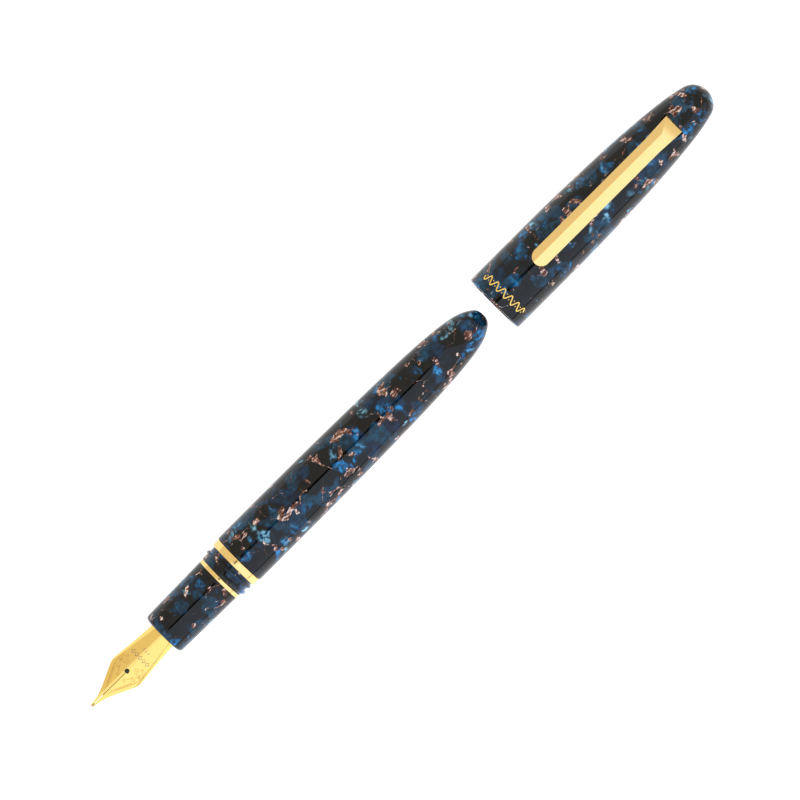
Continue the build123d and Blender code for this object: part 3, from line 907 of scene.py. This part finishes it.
class PEN_OT_cap(bpy.types.Operator):
    """Cap with its rounded lip and crown, its thread inside and the slot for the clip"""

    bl_idname = "pen.cap"
    bl_label = "Cap"

    def execute(self, context):
        straight_end = CROWN - CROWN_TAPER[0][0]
        crown = flowing([(CROWN - back, r) for back, r in CROWN_TAPER], (1, 0), (0, -1), 9)
        shell = turned(
            "cap_body",
            [
                (LIP + PLUG_END, 0),
                (LIP + PLUG_END, PLUG_BORE),
                (LIP + INNER_CAP_END, PLUG_BORE),
                (LIP + INNER_CAP_END, INNER_CAP_BORE),
                (LIP + WIDE_END, INNER_CAP_BORE),
                (LIP + WIDE_END, WIDE_BORE),
                (LIP + MOUTH_END, WIDE_BORE),
                (LIP + MOUTH_END, MOUTH_THREAD),
                (LIP + 0.15, MOUTH_THREAD),
                (LIP, MOUTH_THREAD + 0.15),
                *corner(LIP + 0.5, CAP_RADIUS - 0.5, 0.5, 180, 90, 7),
                (LIP + 2, CAP_RADIUS),
                (straight_end - 1, CAP_RADIUS),
                *crown,
            ],
        )
        fuse(shell, ridge(LIP + 1.6, 2.9, THREAD_PITCH, MOUTH_THREAD, RIDGE_WIDTH, 0.45))
        first, last = LIP + SLOT_START, LIP + SLOT_END
        slot = [(first, -SLOT_HALF), (last, -SLOT_HALF), (last, SLOT_HALF), (first, SLOT_HALF)]
        cut(shell, prism("slot", slot, "z", AXIS + 3.1, AXIS + 9))
        finished(shell, "cap", "cap_resin", ["cap_shell"])
        return {"FINISHED"}


class PEN_OT_ornament(bpy.types.Operator):
    """Gold running wave with dots, inlaid round the top of the cap by its lip"""

    bl_idname = "pen.ornament"
    bl_label = "Cap ornament"

    def execute(self, context):
        reach, waves = radians(50), 6
        centre, swing, dot_away, dot_half = 3.2, 0.85, 0.35, 0.12

        def on_cap(u, angle):
            radius = CAP_RADIUS + 0.02
            return Vector((LIP + u, radius * sin(angle), AXIS + radius * cos(angle)))

        line = []
        for step in range(181):
            t = step / 180
            line.append(on_cap(centre + swing * sin(2 * pi * waves * t), reach * (2 * t - 1)))
        dots = []
        for crest in range(2 * waves):
            angle = reach * (2 * (crest + 0.5) / (2 * waves) - 1)
            u = centre - dot_away if crest % 2 == 0 else centre + dot_away
            dots.append([on_cap(u - dot_half, angle), on_cap(u + dot_half, angle)])
        finished(cut_lines("cap_wave", [line], 0.36), "cap", "nib_gold", (), 50)
        finished(cut_lines("cap_dots", dots, 0.30), "cap", "nib_gold", (), 50)
        return {"FINISHED"}


class PEN_OT_clip(bpy.types.Operator):
    """Gold clip: a ridged strip with a round end, chiselled at the crown and folded into its slot"""

    bl_idname = "pen.clip"
    bl_label = "Clip"

    def execute(self, context):
        half, end_half, foot_half = 2.15, 2.5, 1.9
        end, leg, underside = LIP + 57.2, LIP + 56.1, CLIP_TOP - 1.05
        tip = LIP + CLIP_TIP
        side = [*reversed(corner(tip + half, 0, half, 90, 180, 12)), (LIP + 50.0, half), (end, end_half)]
        side += [(end, foot_half), (leg + 2.0, foot_half)]
        plan = side + [(x, -y) for x, y in reversed(side) if abs(y) > 1e-6]
        clip = prism("clip_bar", plan, "z", AXIS + 2, AXIS + 10)

        bend = flowing([(leg - 5.0, underside - 0.15), (leg, underside - 1.2)], (1, -0.01), (0.3, -1), 10)
        outline = [(tip, CLIP_TOP + 0.1), (tip, underside), *bend, (leg, 3.3), (leg + 2.0, 3.3)]
        outline += [(leg + 2.0, 3.85), (leg + 0.9, 3.85), (leg + 0.9, 6.4), (end, 6.6)]
        outline += [(end, underside - 0.2), (end - 0.25, underside + 0.35), (end - 0.25, CLIP_TOP + 0.1)]
        profile = [(x, AXIS + z) for x, z in outline]
        keep_common(clip, prism("profile", profile, "y", -4, 4))

        crease, left_drop, right_drop = 0.38, 0.40, 0.30
        roof = [(-4, 0), (-4, CLIP_TOP - left_drop * (4 + crease) / (half + crease)), (crease, CLIP_TOP)]
        roof += [(4, CLIP_TOP - right_drop * (4 - crease) / (half - crease)), (4, 0)]
        keep_common(clip, prism("roof", [(y, AXIS + z) for y, z in roof], "x", tip - 1, leg + 3))

        # the chiselled end: one plane that meets the ridge before the slot
        start_edit(clip)
        bpy.ops.mesh.bisect(
            plane_co=((LIP + 53.6) * MM, crease * MM, (AXIS + CLIP_TOP) * MM),
            plane_no=Vector((0.1463, -0.0787, 1)).normalized(),
            clear_outer=True,
            use_fill=True,
        )
        end_edit()
        deselect()
        bpy.ops.mesh.primitive_cylinder_add(
            vertices=48, radius=1.2 * MM, depth=0.5 * MM,
            location=((tip + half) * MM, 0, (AXIS + CAP_RADIUS + 0.05 + 0.25) * MM),
        )
        fuse(clip, bpy.context.object)
        outward(clip)
        soften(clip, 0.07, 32)
        finished(clip, "clip", "trim_gold", ["clip"], 14)
        return {"FINISHED"}


# ---- pieces shown as the frame has them ----
KEPT = {
    "nib_tipping": "hard_tip",
    "feed": "black_plastic",
    "nib_collar": "black_plastic",
    "section_tenon": "plated_metal",
    "barrel_insert": "plated_metal",
    "converter_tube": "clear_plastic",
    "converter_sleeve": "plated_metal",
    "converter_gland": "black_plastic",
    "converter_knob": "black_plastic",
    "piston_rod": "rod_plastic",
    "piston_seal": "seal_rubber",
    "inner_cap": "black_plastic",
    "inner_cap_retainer": "plated_metal",
    "inner_cap_spring": "plated_metal",
    "clip_plug": "black_plastic",
}


class PEN_OT_workings(bpy.types.Operator):
    """Finishes of the feed, the converter and the workings inside the cap"""

    bl_idname = "pen.workings"
    bl_label = "Workings"

    def execute(self, context):
        for node, name in KEPT.items():
            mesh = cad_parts[node].data
            mesh.materials.clear()
            mesh.materials.append(material(name))
        return {"FINISHED"}


# ---- stage ----
VIEW_CENTRE = (-0.000245, -0.000316)
SENSOR = 36.0


class PEN_OT_stage(bpy.types.Operator):
    """Pale floor, soft light from both sides and the camera overhead"""

    bl_idname = "pen.stage"
    bl_label = "Stage"

    def execute(self, context):
        stage = settings("pen_stage")
        scene = context.scene
        scene.view_settings.view_transform = "Standard"

        deselect()
        bpy.ops.mesh.primitive_plane_add(size=4)
        floor = bpy.context.object
        floor.name = "floor"
        # Painted light: the floor glows by its own emission, brighter on the near side and dimmer on the far
        # side to match the two sides of the sky, and bright enough to hide the pen's shadow.
        paint = Paint("pale_floor")
        speck = paint.noise(paint.place, 0.02, 2.0)
        far_side = paint.ease(paint.node("ShaderNodeSeparateXYZ", None, {0: paint.place}, 1), -20.0, 20.0)
        floor.data.materials.append(
            paint.finish(
                Base_Color=paint.mix(speck, (0.35, 0.35, 0.35), (0.37, 0.37, 0.37)),
                Roughness=0.9,
                Emission_Color=paint.mix(far_side, (1.0, 1.0, 1.02), (0.75, 0.75, 0.74)),
                Emission_Strength=1.05,
            )
        )
        self.light(scene, stage)

        bpy.ops.object.camera_add(
            location=(*VIEW_CENTRE, AXIS * MM + stage.width * stage.lens / SENSOR),
            rotation=(0, 0, radians(-45)),
        )
        camera = bpy.context.object
        camera.data.lens = stage.lens
        camera.data.sensor_width = SENSOR
        camera.data.clip_start = 0.01
        camera.data.clip_end = 10.0
        scene.camera = camera
        return {"FINISHED"}

    def light(self, scene, stage):
        """Soft light from the whole sky: brighter on the near side, with a narrow gap overhead."""
        world = bpy.data.worlds.new("studio")
        world.use_nodes = True
        scene.world = world
        nodes = Nodes(world.node_tree)
        way = nodes.node("ShaderNodeTexCoord", output="Generated")
        x, y, z = (nodes.node("ShaderNodeSeparateXYZ", None, {0: way}, part) for part in range(3))
        across = nodes.node("ShaderNodeMath", {"operation": "ABSOLUTE"}, {0: x})
        sideways = nodes.node("ShaderNodeMath", {"operation": "ABSOLUTE"}, {0: y})
        lean = nodes.ease(across, 0.10, 0.16)
        crownward = nodes.ease(x, 0.20, 0.30)
        edge = lean * 0.19 - crownward * 0.75
        far_side = nodes.ease(y - edge, -0.012, 0.012)
        level = stage.near + far_side * (stage.far - stage.near)
        gap = (1.0 - nodes.ease(sideways, 0.055, 0.085)) * (1.0 - lean) * nodes.ease(z, 0.0, 0.1)
        skirt = (1.0 - nodes.ease(z, 0.03, 0.10)) * (1.0 - far_side) * 0.9
        level = level * (1.0 - gap * 0.97) * (1.0 - skirt)
        background = world.node_tree.nodes["Background"]
        world.node_tree.links.new(level.socket, background.inputs["Strength"])
        tint = nodes.mix(far_side, stage.near_tint, stage.far_tint)
        world.node_tree.links.new(tint.socket, background.inputs["Color"])


# ---- add-on ----
STEPS = (
    PEN_OT_stage,
    PEN_OT_barrel,
    PEN_OT_section,
    PEN_OT_nib,
    PEN_OT_cap,
    PEN_OT_ornament,
    PEN_OT_clip,
    PEN_OT_workings,
)


class PEN_PT_panel(bpy.types.Panel):
    """Sizes, colours and steps of the pen"""

    bl_idname = "PEN_PT_panel"
    bl_label = "Fountain pen"
    bl_space_type = "VIEW_3D"
    bl_region_type = "UI"
    bl_category = "Pen"

    def draw(self, context):
        for name in GROUPS:
            box = self.layout.box()
            for key in GROUPS[name].__annotations__:
                box.prop(settings(name), key)
        for step in STEPS:
            self.layout.operator(step.bl_idname)


GROUPS = {"pen_resin": PenResin, "pen_metal": PenMetal, "pen_stage": PenStage}
CLASSES = (*GROUPS.values(), *STEPS, PEN_PT_panel)


def register():
    for kind in CLASSES:
        bpy.utils.register_class(kind)
    for name, group in GROUPS.items():
        setattr(bpy.types.Scene, name, PointerProperty(type=group))


def unregister():
    for name in GROUPS:
        delattr(bpy.types.Scene, name)
    for kind in reversed(CLASSES):
        bpy.utils.unregister_class(kind)


def main():
    register()
    for step in STEPS:
        getattr(bpy.ops.pen, step.bl_idname.split(".")[1])()


if __name__ == "__main__":
    main()
